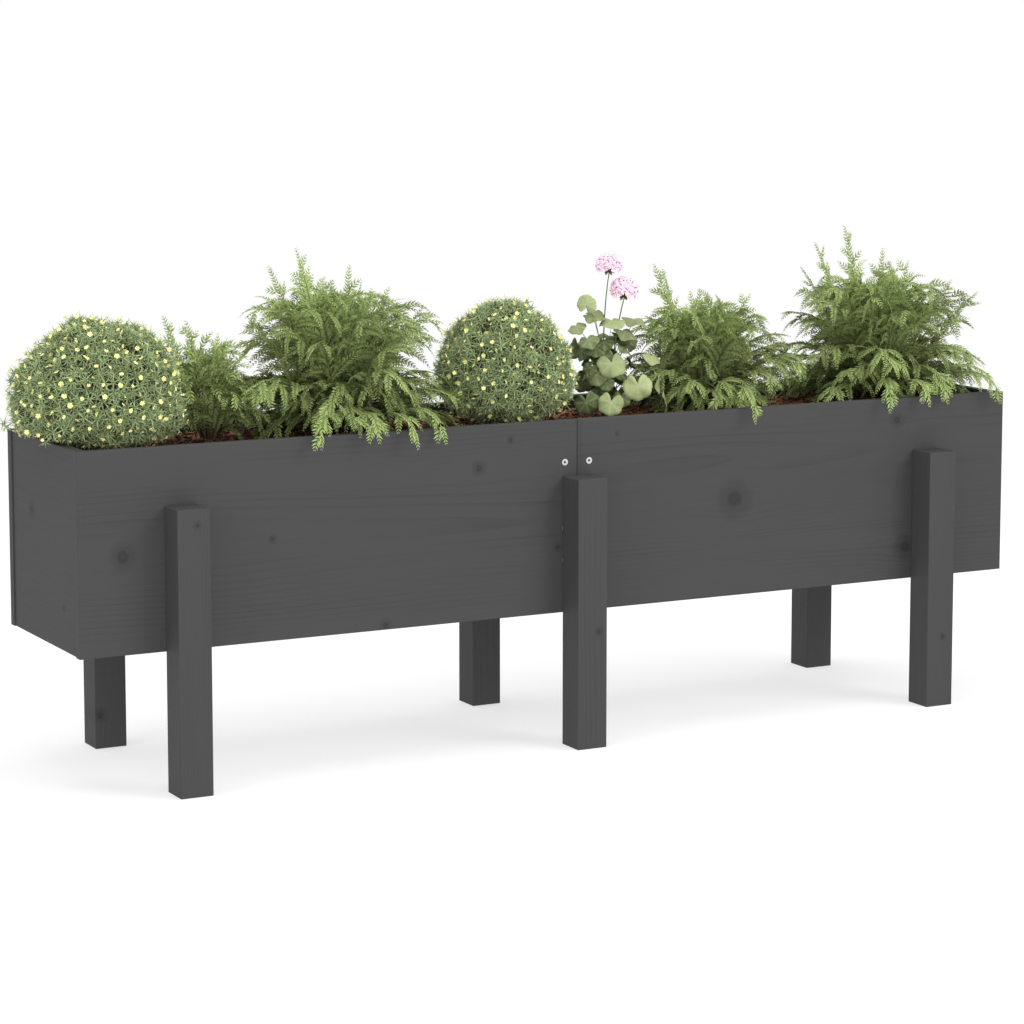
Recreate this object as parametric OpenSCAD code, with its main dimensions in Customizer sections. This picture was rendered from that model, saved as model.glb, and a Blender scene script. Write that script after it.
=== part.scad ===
// Raised planter: a long timber box on six legs that stand outside its walls.
// X runs along the length, -Y is the front, Z is up and the ground is Z = 0.
// Every timber is a piece of its own, every screw sits in a drilled hole, and
// the soil, the mulch and each plant lift out.

/* [Box] */
// Length of the long walls
box_l = 1600; // [1500:10:1800]
// Width over the two long walls
box_w = 300; // [280:5:340]
// Height of the walls
wall_h = 295; // [280:5:310]
// Thickness of the wall boards
wall_t = 15; // [12:1:18]
// Height of the rim above the ground
rim_z = 500; // [480:5:560]
// How far the end panels sit in from the ends of the long walls
end_recess = 2.5; // [0:0.5:5]
// Gap at the butt joint in the middle of each long wall
joint_gap = 0.6; // [0.2:0.1:1]
// Radius of the eased edges on every timber
edge_r = 1.2; // [0.5:0.1:2]

/* [Legs] */
// Side of the square legs
leg_side = 50; // [40:1:60]
// Height of the legs
leg_h = 415; // [400:5:430]
// Distance from the end of a long wall to the middle of the outer leg
leg_inset = 155; // [100:5:250]

/* [Inner timber] */
// Side of the square cleats that carry the base
cleat_side = 25; // [20:1:30]
// How far the cleats sit above the lower edge of the walls
cleat_lift = 5; // [0:1:10]
// Drainage gap between two slats
slat_gap = 3.5; // [2:0.5:8]
// Thickness of the base slats
slat_t = 15; // [12:1:18]
// Side of the square corner battens
corner_side = 30; // [25:1:35]
// Width of the battens behind the butt joints
joint_batten_w = 100; // [80:5:120]
// Thickness of the battens behind the butt joints
joint_batten_t = 20; // [15:1:25]

/* [Screws] */
// Shank diameter of the screws
screw_d = 5; // [4:0.5:6]
// Head diameter of the screws
head_d = 10; // [8:0.5:11]
// Spacing of the pair of screws beside a butt joint
joint_screw_gap = 42; // [30:2:60]
// Depth of the visible pair of screws below the rim
joint_screw_drop = 64; // [60:1:70]
// Distance across the flats of the hexagon sockets
socket_w = 4; // [3:0.5:4]

/* [Filling] */
// Depth of the soil's surface below the rim
soil_drop = 38; // [30:1:50]
// Thickness of the bark mulch
mulch_t = 20; // [10:1:25]

/* [Plants] */
// Distance from the middle of the planter to its outermost leaves
plant_reach = 840; // [830:5:850]
// Width of the flowering mound at the left end
end_mound_d = 256; // [200:2:260]
// Width of the flowering mound near the middle
middle_mound_d = 218; // [180:2:220]
// Top of the flowering mounds above the ground
mound_z = 674; // [640:2:700]
// Width of the slim juniper
slim_juniper_d = 84; // [60:2:84]
// Top of the slim juniper above the ground
slim_juniper_z = 666; // [620:2:700]
// Width of the large juniper left of the middle
left_juniper_d = 330; // [280:2:330]
// Width of the juniper right of the middle
middle_juniper_d = 196; // [160:2:200]
// Top of the juniper right of the middle
middle_juniper_z = 718; // [680:2:740]
// Width of the large juniper at the right end
right_juniper_d = 380; // [320:2:384]
// Top of the two large junipers above the ground
large_juniper_z = 768; // [720:2:780]
// Width of the geranium's leaves
geranium_d = 130; // [100:2:130]
// Top of the geranium's leaves above the ground
geranium_leaf_z = 640; // [600:2:660]
// Top of the geranium's upper flower head
geranium_flower_z = 744; // [720:2:760]

/* [Hidden] */

front = -1;
back = 1;
left = -1;
right = 1;

stain = "dimgray";
zinc = "lightgray";

// Walls
wall_z = rim_z - wall_h;
inner_w = box_w - 2 * wall_t;
end_outer_x = box_l / 2 - end_recess;
end_inner_x = end_outer_x - wall_t;
half_board_l = (box_l - joint_gap) / 2;

// Legs
leg_x = box_l / 2 - leg_inset;
leg_y = (box_w + leg_side) / 2;

// Base
cleat_z = wall_z + cleat_lift;
slat_z = cleat_z + cleat_side;
base_top_z = slat_z + slat_t;
cleat_y = (inner_w - cleat_side) / 2;
slat_count = 10;
slat_pitch = 2 * end_inner_x / slat_count;
slat_w = slat_pitch - slat_gap;

// Filling
soil_z = rim_z - soil_drop;
mulch_z = soil_z + mulch_t;

// Battens reach from the base to the soil's surface
batten_h = soil_z - base_top_z;
corner_x = end_inner_x - corner_side / 2;
corner_y = (inner_w - corner_side) / 2;
joint_batten_y = (inner_w - joint_batten_t) / 2;

// Screws
hole_gap = 0.1;
short_screw_l = 30;
corner_screw_l = corner_side + 10;
cleat_screw_l = cleat_side + 10;
joint_screw_l = wall_t + joint_batten_t - 3;
leg_bite = 30;
head_h = (head_d - screw_d) / 2;
socket_depth = 2;
joint_screw_z = [rim_z - joint_screw_drop, wall_z + 130, wall_z + 80];
leg_screw_z = [wall_z + 105, wall_z + 185];
corner_screw_z = [wall_z + 90, wall_z + 210];
corner_cross_z = 25;

// Plants
foot_angle = 70;
slim_juniper_x = -540;
left_juniper_x = -328;
middle_mound_x = -46;
geranium_x = 134;
middle_juniper_x = 312;
flower_r = 19;
flower_stem_r = 3;
flower_lean = 12;
flower_step = 30;

$fn = 48;

// A timber of the given size centred on the origin, with every edge eased.
module timber(size) {
    intersection() {
        linear_extrude(size.z, center = true) eased([size.x, size.y]);
        rotate([90, 0, 0]) linear_extrude(size.y, center = true) eased([size.x, size.z]);
        rotate([90, 0, 90]) linear_extrude(size.x, center = true) eased([size.y, size.z]);
    }
}

// A rectangle with round corners.
module eased(size) {
    square([size.x - 2 * edge_r, size.y], center = true);
    square([size.x, size.y - 2 * edge_r], center = true);
    for (x = [-1, 1], y = [-1, 1])
        translate([x * (size.x / 2 - edge_r), y * (size.y / 2 - edge_r)]) circle(edge_r);
}

// A countersunk screw whose head lies on the origin and whose shank points down.
// grow widens it into the hole that it sits in.
module screw(length, grow = 0) {
    rotate_extrude()
        polygon([
            [0, grow], [head_d / 2 + grow, grow], [head_d / 2 + grow, 0],
            [screw_d / 2 + grow, -head_h], [screw_d / 2 + grow, screw_d - length],
            [0, -length - grow]
        ]);
}

// A screw with its hexagon socket.
module socket_screw(length) {
    difference() {
        screw(length);
        translate([0, 0, -socket_depth])
            cylinder(h = 2 * socket_depth, d = socket_w / cos(30), $fn = 6);
    }
}

module screw_or_hole(length, grow) {
    if (grow > 0) screw(length, grow);
    else socket_screw(length);
}

// Through each long wall into the batten behind its butt joint.
module place_joint_screws(grow = 0) {
    for (side = [front, back], x = [left, right], z = joint_screw_z)
        translate([x * joint_screw_gap / 2, side * box_w / 2, z])
            rotate([-side * 90, 0, 0]) screw_or_hole(joint_screw_l, grow);
}

// From inside the box through the wall into each leg.
module place_leg_screws(grow = 0) {
    for (side = [front, back], x = [left, 0, right], z = leg_screw_z) {
        backing = x == 0 ? joint_batten_t : 0;
        translate([x * leg_x, side * (inner_w / 2 - backing), z])
            rotate([side * 90, 0, 0]) screw_or_hole(backing + wall_t + leg_bite, grow);
    }
}

// From inside the box through each corner batten, into the long wall and the end panel.
module place_corner_screws(grow = 0) {
    for (side = [front, back], x = [left, right], z = corner_screw_z) {
        translate([x * corner_x, side * (inner_w / 2 - corner_side), z])
            rotate([side * 90, 0, 0]) screw_or_hole(corner_screw_l, grow);
        translate([x * (end_inner_x - corner_side), side * corner_y, z - corner_cross_z])
            rotate([0, -x * 90, 0]) screw_or_hole(corner_screw_l, grow);
    }
}

// From inside the box through the cleats into the long walls, below every other slat gap.
module place_cleat_screws(grow = 0) {
    for (side = [front, back], i = [1 : 2 : slat_count - 1])
        translate([-end_inner_x + i * slat_pitch, side * (inner_w / 2 - cleat_side),
                   cleat_z + cleat_side / 2])
            rotate([side * 90, 0, 0]) screw_or_hole(cleat_screw_l, grow);
}

// Down through each slat into the cleats.
module place_slat_screws(grow = 0) {
    for (side = [front, back], i = [1 : slat_count])
        translate([slat_x(i), side * cleat_y, base_top_z])
            screw_or_hole(short_screw_l, grow);
}

function slat_x(i) = -end_inner_x + (i - 0.5) * slat_pitch;

module long_board(x, side) {
    color(stain) difference() {
        translate([x * (half_board_l + joint_gap) / 2, side * (box_w - wall_t) / 2,
                   wall_z + wall_h / 2])
            timber([half_board_l, wall_t, wall_h]);
        place_joint_screws(hole_gap);
        place_leg_screws(hole_gap);
        place_corner_screws(hole_gap);
        place_cleat_screws(hole_gap);
    }
}

module end_panel(x) {
    color(stain) difference() {
        translate([x * (end_outer_x - wall_t / 2), 0, wall_z + wall_h / 2])
            timber([wall_t, inner_w, wall_h]);
        place_corner_screws(hole_gap);
    }
}

module leg(x, side) {
    color(stain) difference() {
        translate([x * leg_x, side * leg_y, leg_h / 2]) timber([leg_side, leg_side, leg_h]);
        place_leg_screws(hole_gap);
    }
}

module base_cleat(side) {
    color(stain) difference() {
        translate([0, side * cleat_y, cleat_z + cleat_side / 2])
            timber([2 * end_inner_x, cleat_side, cleat_side]);
        place_cleat_screws(hole_gap);
        place_slat_screws(hole_gap);
    }
}

module base_slat(i) {
    color(stain) difference() {
        translate([slat_x(i), 0, slat_z + slat_t / 2]) timber([slat_w, inner_w, slat_t]);
        place_slat_screws(hole_gap);
    }
}

module corner_batten(x, side) {
    color(stain) difference() {
        translate([x * corner_x, side * corner_y, base_top_z + batten_h / 2])
            timber([corner_side, corner_side, batten_h]);
        place_corner_screws(hole_gap);
    }
}

module joint_batten(side) {
    color(stain) difference() {
        translate([0, side * joint_batten_y, base_top_z + batten_h / 2])
            timber([joint_batten_w, joint_batten_t, batten_h]);
        place_joint_screws(hole_gap);
        place_leg_screws(hole_gap);
    }
}

module joint_screws() { color(zinc) place_joint_screws(); }
module leg_screws() { color(zinc) place_leg_screws(); }
module corner_screws() { color(zinc) place_corner_screws(); }
module cleat_screws() { color(zinc) place_cleat_screws(); }
module slat_screws() { color(zinc) place_slat_screws(); }

// The soil fills the box round the battens.
module potting_soil() {
    color("saddlebrown")
    translate([0, 0, base_top_z + batten_h / 2])
        difference() {
            cube([2 * end_inner_x, inner_w, batten_h], center = true);
            for (x = [left, right], y = [front, back])
                translate([x * corner_x, y * corner_y, 0])
                    cube([corner_side, corner_side, 2 * batten_h], center = true);
            for (y = [front, back])
                translate([0, y * joint_batten_y, 0])
                    cube([joint_batten_w, joint_batten_t, 2 * batten_h], center = true);
        }
}

module bark_mulch() {
    color("sienna")
    translate([0, 0, soil_z + mulch_t / 2])
        cube([2 * end_inner_x, inner_w, mulch_t], center = true);
}

// The space that a plant's leaves fill: an egg shape cut flat where it stands on the mulch.
module leaf_form(x, width, top_z) {
    half_h = (top_z - mulch_z) / (1 + sin(foot_angle));
    centre_z = top_z - half_h;
    translate([x, 0, 0])
        rotate_extrude()
            polygon(concat(
                [[0, mulch_z]],
                [for (a = [-foot_angle : 10 : 90])
                    [width / 2 * cos(a), centre_z + half_h * sin(a)]]
            ));
}

module flower_mound_left() {
    color("olivedrab")
        leaf_form(-plant_reach + end_mound_d / 2, end_mound_d, mound_z);
}

module juniper_slim() {
    color("darkolivegreen") leaf_form(slim_juniper_x, slim_juniper_d, slim_juniper_z);
}

module juniper_left() {
    color("darkolivegreen") leaf_form(left_juniper_x, left_juniper_d, large_juniper_z);
}

module flower_mound_middle() {
    color("olivedrab") leaf_form(middle_mound_x, middle_mound_d, mound_z);
}

// Two flower heads stand above the leaves on stems that lean apart.
module geranium() {
    color("yellowgreen") {
        leaf_form(geranium_x, geranium_d, geranium_leaf_z);
        for (x = [left, right]) {
            head_z = geranium_flower_z - flower_r - (x == right ? flower_step : 0);
            translate([geranium_x + x * flower_lean, 0, rim_z])
                cylinder(h = head_z - rim_z, r = flower_stem_r);
            translate([geranium_x + x * flower_lean, 0, head_z]) sphere(flower_r);
        }
    }
}

module juniper_middle() {
    color("darkolivegreen") leaf_form(middle_juniper_x, middle_juniper_d, middle_juniper_z);
}

module juniper_right() {
    color("darkolivegreen")
        leaf_form(plant_reach - right_juniper_d / 2, right_juniper_d, large_juniper_z);
}

long_board(left, front);  // front_board_left
long_board(right, front);  // front_board_right
long_board(left, back);  // back_board_left
long_board(right, back);  // back_board_right
end_panel(left);  // end_panel_left
end_panel(right);  // end_panel_right
leg(left, front);  // leg_front_left
leg(0, front);  // leg_front_middle
leg(right, front);  // leg_front_right
leg(left, back);  // leg_back_left
leg(0, back);  // leg_back_middle
leg(right, back);  // leg_back_right
base_cleat(front);  // base_cleat_front
base_cleat(back);  // base_cleat_back
base_slat(1);  // base_slat_1
base_slat(2);  // base_slat_2
base_slat(3);  // base_slat_3
base_slat(4);  // base_slat_4
base_slat(5);  // base_slat_5
base_slat(6);  // base_slat_6
base_slat(7);  // base_slat_7
base_slat(8);  // base_slat_8
base_slat(9);  // base_slat_9
base_slat(10);  // base_slat_10
corner_batten(left, front);  // corner_batten_front_left
corner_batten(right, front);  // corner_batten_front_right
corner_batten(left, back);  // corner_batten_back_left
corner_batten(right, back);  // corner_batten_back_right
joint_batten(front);  // joint_batten_front
joint_batten(back);  // joint_batten_back
joint_screws();
leg_screws();
corner_screws();
cleat_screws();
slat_screws();
potting_soil();
bark_mulch();
flower_mound_left();
juniper_slim();
juniper_left();
flower_mound_middle();
geranium();
juniper_middle();
juniper_right();
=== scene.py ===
import math
import random

import bmesh
import bpy
from mathutils import Matrix, Vector, noise


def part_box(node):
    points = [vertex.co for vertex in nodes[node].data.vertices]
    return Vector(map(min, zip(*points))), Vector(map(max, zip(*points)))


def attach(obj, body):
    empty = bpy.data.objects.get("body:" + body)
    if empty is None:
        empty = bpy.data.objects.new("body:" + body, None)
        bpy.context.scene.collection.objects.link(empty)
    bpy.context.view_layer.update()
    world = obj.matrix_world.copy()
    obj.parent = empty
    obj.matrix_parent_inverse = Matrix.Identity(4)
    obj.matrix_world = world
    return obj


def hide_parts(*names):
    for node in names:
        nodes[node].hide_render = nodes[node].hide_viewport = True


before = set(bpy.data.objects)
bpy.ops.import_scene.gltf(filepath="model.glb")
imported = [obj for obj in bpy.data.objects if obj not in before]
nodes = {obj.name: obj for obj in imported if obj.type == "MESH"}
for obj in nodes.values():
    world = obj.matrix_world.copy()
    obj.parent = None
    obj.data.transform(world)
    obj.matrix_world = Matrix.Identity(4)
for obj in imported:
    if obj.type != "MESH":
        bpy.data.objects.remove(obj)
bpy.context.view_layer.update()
scene = bpy.context.scene
up = Vector((0, 0, 1))
goldenTurn = math.radians(137.5)
print("frame loaded:", len(nodes), "nodes")


class Signal:
    # one output of a node; arithmetic on it adds Math nodes to the same tree
    def __init__(self, graph, socket):
        self.graph = graph
        self.socket = socket

    def out(self, name):
        return Signal(self.graph, self.socket.node.outputs[name])

    def __add__(self, other):
        return self.graph.math("ADD", self, other)

    def __radd__(self, other):
        return self.graph.math("ADD", other, self)

    def __sub__(self, other):
        return self.graph.math("SUBTRACT", self, other)

    def __rsub__(self, other):
        return self.graph.math("SUBTRACT", other, self)

    def __mul__(self, other):
        return self.graph.math("MULTIPLY", self, other)

    def __rmul__(self, other):
        return self.graph.math("MULTIPLY", other, self)

    def __truediv__(self, other):
        return self.graph.math("DIVIDE", self, other)


class Graph:
    def __init__(self, tree):
        self.tree = tree

    def node(self, kind, settings=None, inputs=None, output=0):
        made = self.tree.nodes.new(kind)
        for name, value in (settings or {}).items():
            if name == "stops":
                self.setStops(made.color_ramp, value)
            else:
                setattr(made, name, value)
        for key, value in (inputs or {}).items():
            for part in value if isinstance(value, list) else [value]:
                self.feed(made.inputs[key], part)
        return Signal(self, made.outputs[output] if made.outputs else None)

    def feed(self, socket, value):
        if isinstance(value, Signal):
            self.tree.links.new(value.socket, socket)
        else:
            socket.default_value = value

    def setStops(self, ramp, stops):
        while len(ramp.elements) < len(stops):
            ramp.elements.new(0.5)
        for element, (place, level) in zip(ramp.elements, stops):
            element.position = place
            element.color = (level, level, level, 1)

    def math(self, operation, *values, clamp=False):
        settings = {"operation": operation, "use_clamp": clamp}
        return self.node("ShaderNodeMath", settings, dict(enumerate(values)))

    def vector(self, operation, *values, output=0):
        return self.node("ShaderNodeVectorMath", {"operation": operation}, dict(enumerate(values)), output)

    def stretch(self, vector, factor):
        made = self.vector("SCALE", vector)
        self.feed(made.socket.node.inputs["Scale"], factor)
        return made

    def combine(self, x, y, z):
        return self.node("ShaderNodeCombineXYZ", inputs={0: x, 1: y, 2: z})

    def split(self, vector):
        x = self.node("ShaderNodeSeparateXYZ", inputs={0: vector})
        return x, x.out("Y"), x.out("Z")

    def mixColour(self, factor, first, second):
        settings = {"data_type": "RGBA", "clamp_factor": True}
        return self.node("ShaderNodeMix", settings, {0: factor, 6: first, 7: second}, 2)

    def ramp(self, value, stops):
        return self.node("ShaderNodeValToRGB", {"stops": stops}, {0: value})

    def step(self, value, low, high):
        settings = {"interpolation_type": "SMOOTHSTEP"}
        return self.node("ShaderNodeMapRange", settings, {0: value, 1: low, 2: high})

    def noise(self, vector, scale, detail=2.0, seed=0.0, roughness=0.5):
        inputs = {"Vector": vector, "W": seed, "Scale": scale, "Detail": detail, "Roughness": roughness}
        return self.node("ShaderNodeTexNoise", {"noise_dimensions": "4D"}, inputs)

    def attribute(self, name):
        return self.node("ShaderNodeAttribute", {"attribute_name": name}, output="Fac")

    def named(self, name, kind="FLOAT"):
        return self.node("GeometryNodeInputNamedAttribute", {"data_type": kind}, {"Name": name})

    def store(self, geometry, name, value):
        inputs = {"Geometry": geometry, "Name": name, "Value": value}
        return self.node("GeometryNodeStoreNamedAttribute", {"data_type": "FLOAT"}, inputs)

    def random(self, low, high, seed):
        return self.node("FunctionNodeRandomValue", {"data_type": "FLOAT"}, {2: low, 3: high, 8: seed}, 1)

    def place(self, points, instance, rotation, scale, selection=True):
        inputs = {"Points": points, "Instance": instance, "Rotation": rotation, "Scale": scale}
        inputs["Selection"] = selection
        return self.node("GeometryNodeInstanceOnPoints", inputs=inputs)

    def aim(self, primary, secondary, primaryAxis="Z", secondaryAxis="X"):
        settings = {"primary_axis": primaryAxis, "secondary_axis": secondaryAxis}
        return self.node("FunctionNodeAxesToRotation", settings, {0: primary, 1: secondary})

    def position(self):
        return self.node("GeometryNodeInputPosition")

    def randomTurn(self, tilt):
        # any way round, leaning by up to the tilt
        leans = self.random(-tilt, tilt, 5), self.random(-tilt, tilt, 6)
        turn = self.combine(*leans, self.random(0.0, 6.3, 7))
        return self.node("FunctionNodeEulerToRotation", inputs={0: turn})

    def paint(self, geometry, material):
        return self.node("GeometryNodeSetMaterial", inputs={"Geometry": geometry, "Material": material})

    def move(self, geometry, position):
        return self.node("GeometryNodeSetPosition", inputs={"Geometry": geometry, "Position": position})

    def shift(self, geometry, offset):
        return self.node("GeometryNodeSetPosition", inputs={"Geometry": geometry, "Offset": offset})

    def realize(self, geometry):
        return self.node("GeometryNodeRealizeInstances", inputs={0: geometry})

    def join(self, *geometries):
        return self.node("GeometryNodeJoinGeometry", inputs={0: list(geometries)})


def colour(red, green, blue):
    # a colour as people pick it, 0 to 255, turned to linear light
    def toLinear(level):
        level = level / 255
        return level / 12.92 if level < 0.04 else ((level + 0.055) / 1.055) ** 2.4
    return (toLinear(red), toLinear(green), toLinear(blue), 1)


def newMaterial(name, roughness=0.5, specular=0.5, metallic=0.0):
    # gives the tree of a new material, and the place on the object that its patterns read
    material = bpy.data.materials.new(name)
    material.use_nodes = True
    graph = Graph(material.node_tree)
    graph.material = material
    graph.surface = material.node_tree.nodes["Principled BSDF"]
    graph.surface.inputs["Roughness"].default_value = roughness
    graph.surface.inputs["Specular IOR Level"].default_value = specular
    graph.surface.inputs["Metallic"].default_value = metallic
    return graph, graph.node("ShaderNodeTexCoord", output="Object")


def finishMaterial(graph, base, roughness=None, height=None, bump=None):
    surface = graph.surface
    graph.feed(surface.inputs["Base Color"], base)
    if roughness is not None:
        graph.feed(surface.inputs["Roughness"], roughness)
    if height is not None:
        strength, distance = bump
        inputs = {"Strength": strength, "Distance": distance, "Height": height}
        graph.feed(surface.inputs["Normal"], graph.node("ShaderNodeBump", inputs=inputs))
    return graph.material


pineFinish = {
    "stain": colour(54, 54, 54),        # between the rings
    "lateWood": colour(39, 39, 39),     # the hard dark line of each ring
    "knot": colour(28, 28, 28),
    "ringSpacing": 0.0065,              # metres between rings on a board's face
    "ringStrength": 0.5,
    "streakStrength": 0.35,
    "roughness": 0.72,
}
grainOrder = {"x": ("X", "Z", "Y"), "y": ("Y", "Z", "X"), "z": ("Z", "X", "Y")}


def greyPine(name, grain, seed, knots=(), darkEnd=None, spacing=1.0):
    graph, place = newMaterial(name, specular=0.3)
    axes = dict(zip("XYZ", graph.split(place)))
    along, across, through = (axes[letter] for letter in grainOrder[grain])

    # grain lines part around a knot: the place is pulled towards its middle
    knotMask = None
    for knotAlong, knotAcross, radius in knots:
        offsetAlong = (along - knotAlong) / radius
        offsetAcross = (across - knotAcross) / radius
        reach = offsetAlong * offsetAlong * 0.06 + offsetAcross * offsetAcross * 0.22
        pull = graph.math("EXPONENT", reach * -1.0)
        across = across - pull * offsetAcross * (0.75 * radius)
        wobble = graph.noise(graph.combine(along, across, seed), 1.2 / radius, 1.0, seed) - 0.5
        distance = graph.math("SQRT", offsetAlong * offsetAlong + offsetAcross * offsetAcross) + wobble * 0.5
        eye = 1 - graph.step(distance, 0.62, 1.02)
        band = graph.math("PINGPONG", distance * 2.6, 1.0)
        halo = (1 - graph.step(distance, 0.9, 2.3)) * 0.42
        spot = graph.math("MAXIMUM", eye * (0.72 + band * 0.28), halo)
        knotMask = spot if knotMask is None else graph.math("MAXIMUM", knotMask, spot)

    here = graph.combine(along, across, through)
    sway = graph.noise(graph.vector("MULTIPLY", here, (1.1, 7.0, 7.0)), 1.0, 1.0, seed)
    pith = 0.05 + 0.012 * (seed % 5)
    offCentre = across - (0.36 + 0.03 * ((seed * 7) % 5 - 2) if grain != "z" else 0.01 * seed)
    fromPith = graph.math("SQRT", offCentre * offCentre + graph.math("POWER", through + pith, 2.0))
    rings = fromPith / (pineFinish["ringSpacing"] * spacing) + sway * 7.0
    phase = graph.math("FRACT", rings)
    line = graph.ramp(phase, [(0.0, 0.05), (0.55, 0.12), (0.86, 0.85), (0.93, 1.0), (1.0, 0.05)])
    fade = graph.noise(graph.vector("MULTIPLY", here, (2.2, 26.0, 26.0)), 1.0, 2.0, seed + 3)
    line = line * graph.step(fade, 0.34, 0.72)
    streak = graph.noise(graph.vector("MULTIPLY", here, (14.0, 700.0, 700.0)), 1.0, 3.0, seed + 5)
    blotch = graph.noise(graph.vector("MULTIPLY", here, (2.5, 9.0, 9.0)), 1.0, 2.0, seed + 9)

    dark = line * pineFinish["ringStrength"] + (streak - 0.45) * pineFinish["streakStrength"]
    dark = dark + (blotch - 0.5) * 0.45
    if darkEnd is not None:
        dark = dark + (1 - graph.step(along, darkEnd * 0.4, darkEnd)) * 0.22
    dark = graph.math("MAXIMUM", dark, 0.0, clamp=True)
    tint = graph.mixColour(dark, pineFinish["stain"], pineFinish["lateWood"])
    height = (streak - 0.5) * 0.5 - line * 0.5
    if knotMask is not None:
        tint = graph.mixColour(knotMask * 0.8, tint, pineFinish["knot"])
        height = height - knotMask * 0.6
    rough = pineFinish["roughness"] + (streak - 0.5) * 0.16 - line * 0.06
    return finishMaterial(graph, tint, rough, height, (0.35, 0.0005))


def dress(nodeName, material):
    for slot in nodes[nodeName].material_slots:
        slot.material = material


boardKnots = {      # place along the board, height, radius, in metres
    "front_board_left": [
        (-0.733, 0.347, 0.012), (-0.504, 0.355, 0.004), (-0.168, 0.436, 0.0075),
        (-0.114, 0.476, 0.0045), (-0.033, 0.306, 0.0045), (-0.324, 0.212, 0.006),
    ],
    "front_board_right": [
        (0.282, 0.358, 0.018), (0.589, 0.465, 0.008), (0.608, 0.257, 0.012), (0.070, 0.474, 0.0028),
    ],
    "back_board_left": [(-0.60, 0.41, 0.011), (-0.27, 0.28, 0.007), (-0.12, 0.46, 0.004)],
    "back_board_right": [(0.14, 0.30, 0.006), (0.41, 0.43, 0.014), (0.70, 0.27, 0.008)],
}
panelKnots = {      # place along the panel, height, radius, in metres
    "end_panel_left": [(0.052, 0.392, 0.009), (-0.081, 0.268, 0.004)],
    "end_panel_right": [(-0.047, 0.311, 0.012), (0.088, 0.446, 0.005)],
}
legKnots = {        # height, place across the leg, radius, in metres
    "leg_front_left": [(0.392, -0.640, 0.004)],
    "leg_front_middle": [(0.18, 0.011, 0.005)],
    "leg_front_right": [(0.114, 0.650, 0.004)],
    "leg_back_left": [(0.052, -0.662, 0.007)],
    "leg_back_middle": [(0.30, -0.009, 0.006)],
    "leg_back_right": [(0.22, 0.652, 0.005)],
}


def dressTimbers():
    for seed, (name, knots) in enumerate(boardKnots.items()):
        darkEnd = 0.013 if name == "front_board_right" else None
        dress(name, greyPine("greyPine_" + name, "x", seed + 1, knots, darkEnd))
    for seed, (name, knots) in enumerate(panelKnots.items()):
        dress(name, greyPine("greyPine_" + name, "y", seed + 6, knots))
    for seed, (name, knots) in enumerate(legKnots.items()):
        dress(name, greyPine("greyPine_" + name, "z", seed + 9, knots, spacing=0.8))
    hidden = {"base_cleat": "x", "base_slat": "y", "corner_batten": "z", "joint_batten": "z"}
    for seed, (stem, grain) in enumerate(hidden.items()):
        material = greyPine("greyPine_" + stem, grain, seed + 16, spacing=0.9)
        for name in nodes:
            if name.startswith(stem):
                dress(name, material)


zincFinish = {
    "plate": colour(222, 224, 226),
    "dull": colour(186, 189, 194),
    # painted shade: the drive in a visible head is coloured dark, for the shade inside it
    "paintedRecessShade": colour(40, 40, 42),       # in the drive of a visible head
    "recessRadius": 0.0020,
    "headRadius": 0.005,
    "roughness": 0.32,
}


def zincPlate(name, recessed=None):
    graph, place = newMaterial(name, metallic=1.0)
    cloud = graph.noise(place, 420.0, 2.0, 1.0)
    tint = graph.mixColour(cloud, zincFinish["dull"], zincFinish["plate"])
    rough = zincFinish["roughness"] + (cloud - 0.5) * 0.3
    # painted shade: the drives of the seen screws are darkened where they sit
    if recessed:
        # the screws are a pair that mirror each other, so one distance serves both
        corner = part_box(recessed)[1]
        x, y, z = graph.split(place)
        offX = graph.math("ABSOLUTE", x) - (corner.x - zincFinish["headRadius"])
        offZ = z - (corner.z - zincFinish["headRadius"])
        ring = graph.math("SQRT", offX * offX + offZ * offZ) / zincFinish["recessRadius"]
        deep = 1 - graph.step(ring, 0.75, 1.1)
        tint = graph.mixColour(deep, tint, zincFinish["paintedRecessShade"])
        rough = rough + deep * 0.5
    return finishMaterial(graph, tint, rough, cloud, (0.1, 0.0001))


soilFinish = {
    "dark": colour(38, 28, 20),
    "light": colour(84, 62, 44),
    "crumb": 260.0,
}


def pottingSoil():
    graph, place = newMaterial("pottingSoil", 0.95, 0.2)
    crumbs = graph.node("ShaderNodeTexVoronoi", inputs={"Vector": place, "Scale": soilFinish["crumb"]})
    damp = graph.noise(place, 30.0, 4.0, 2.0)
    tint = graph.mixColour(crumbs * 0.8 + damp * 0.4, soilFinish["dark"], soilFinish["light"])
    return finishMaterial(graph, tint, None, crumbs + damp, (0.8, 0.002))


dressTimbers()
zinc = zincPlate("zincPlate")
for nodeName in nodes:
    if nodeName.endswith("_screws"):
        seen = nodeName == "joint_screws"
        dress(nodeName, zincPlate("zincPlateSeen", nodeName) if seen else zinc)
dress("potting_soil", pottingSoil())
print("timbers, screws and soil dressed")


def makeTree(name, sizes, build):
    # a Geometry Nodes tree with one named input for each size; build returns its geometry
    tree = bpy.data.node_groups.new(name, "GeometryNodeTree")
    tree.interface.new_socket(name="Geometry", in_out="INPUT", socket_type="NodeSocketGeometry")
    kinds = {int: "NodeSocketInt", float: "NodeSocketFloat", bpy.types.Material: "NodeSocketMaterial"}
    for label, value in sizes.items():
        tree.interface.new_socket(name=label, in_out="INPUT", socket_type=kinds[type(value)])
    tree.interface.new_socket(name="Geometry", in_out="OUTPUT", socket_type="NodeSocketGeometry")
    graph = Graph(tree)
    given = graph.node("NodeGroupInput")
    result = build(graph, given)
    graph.node("NodeGroupOutput", inputs={0: result})
    return tree


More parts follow.
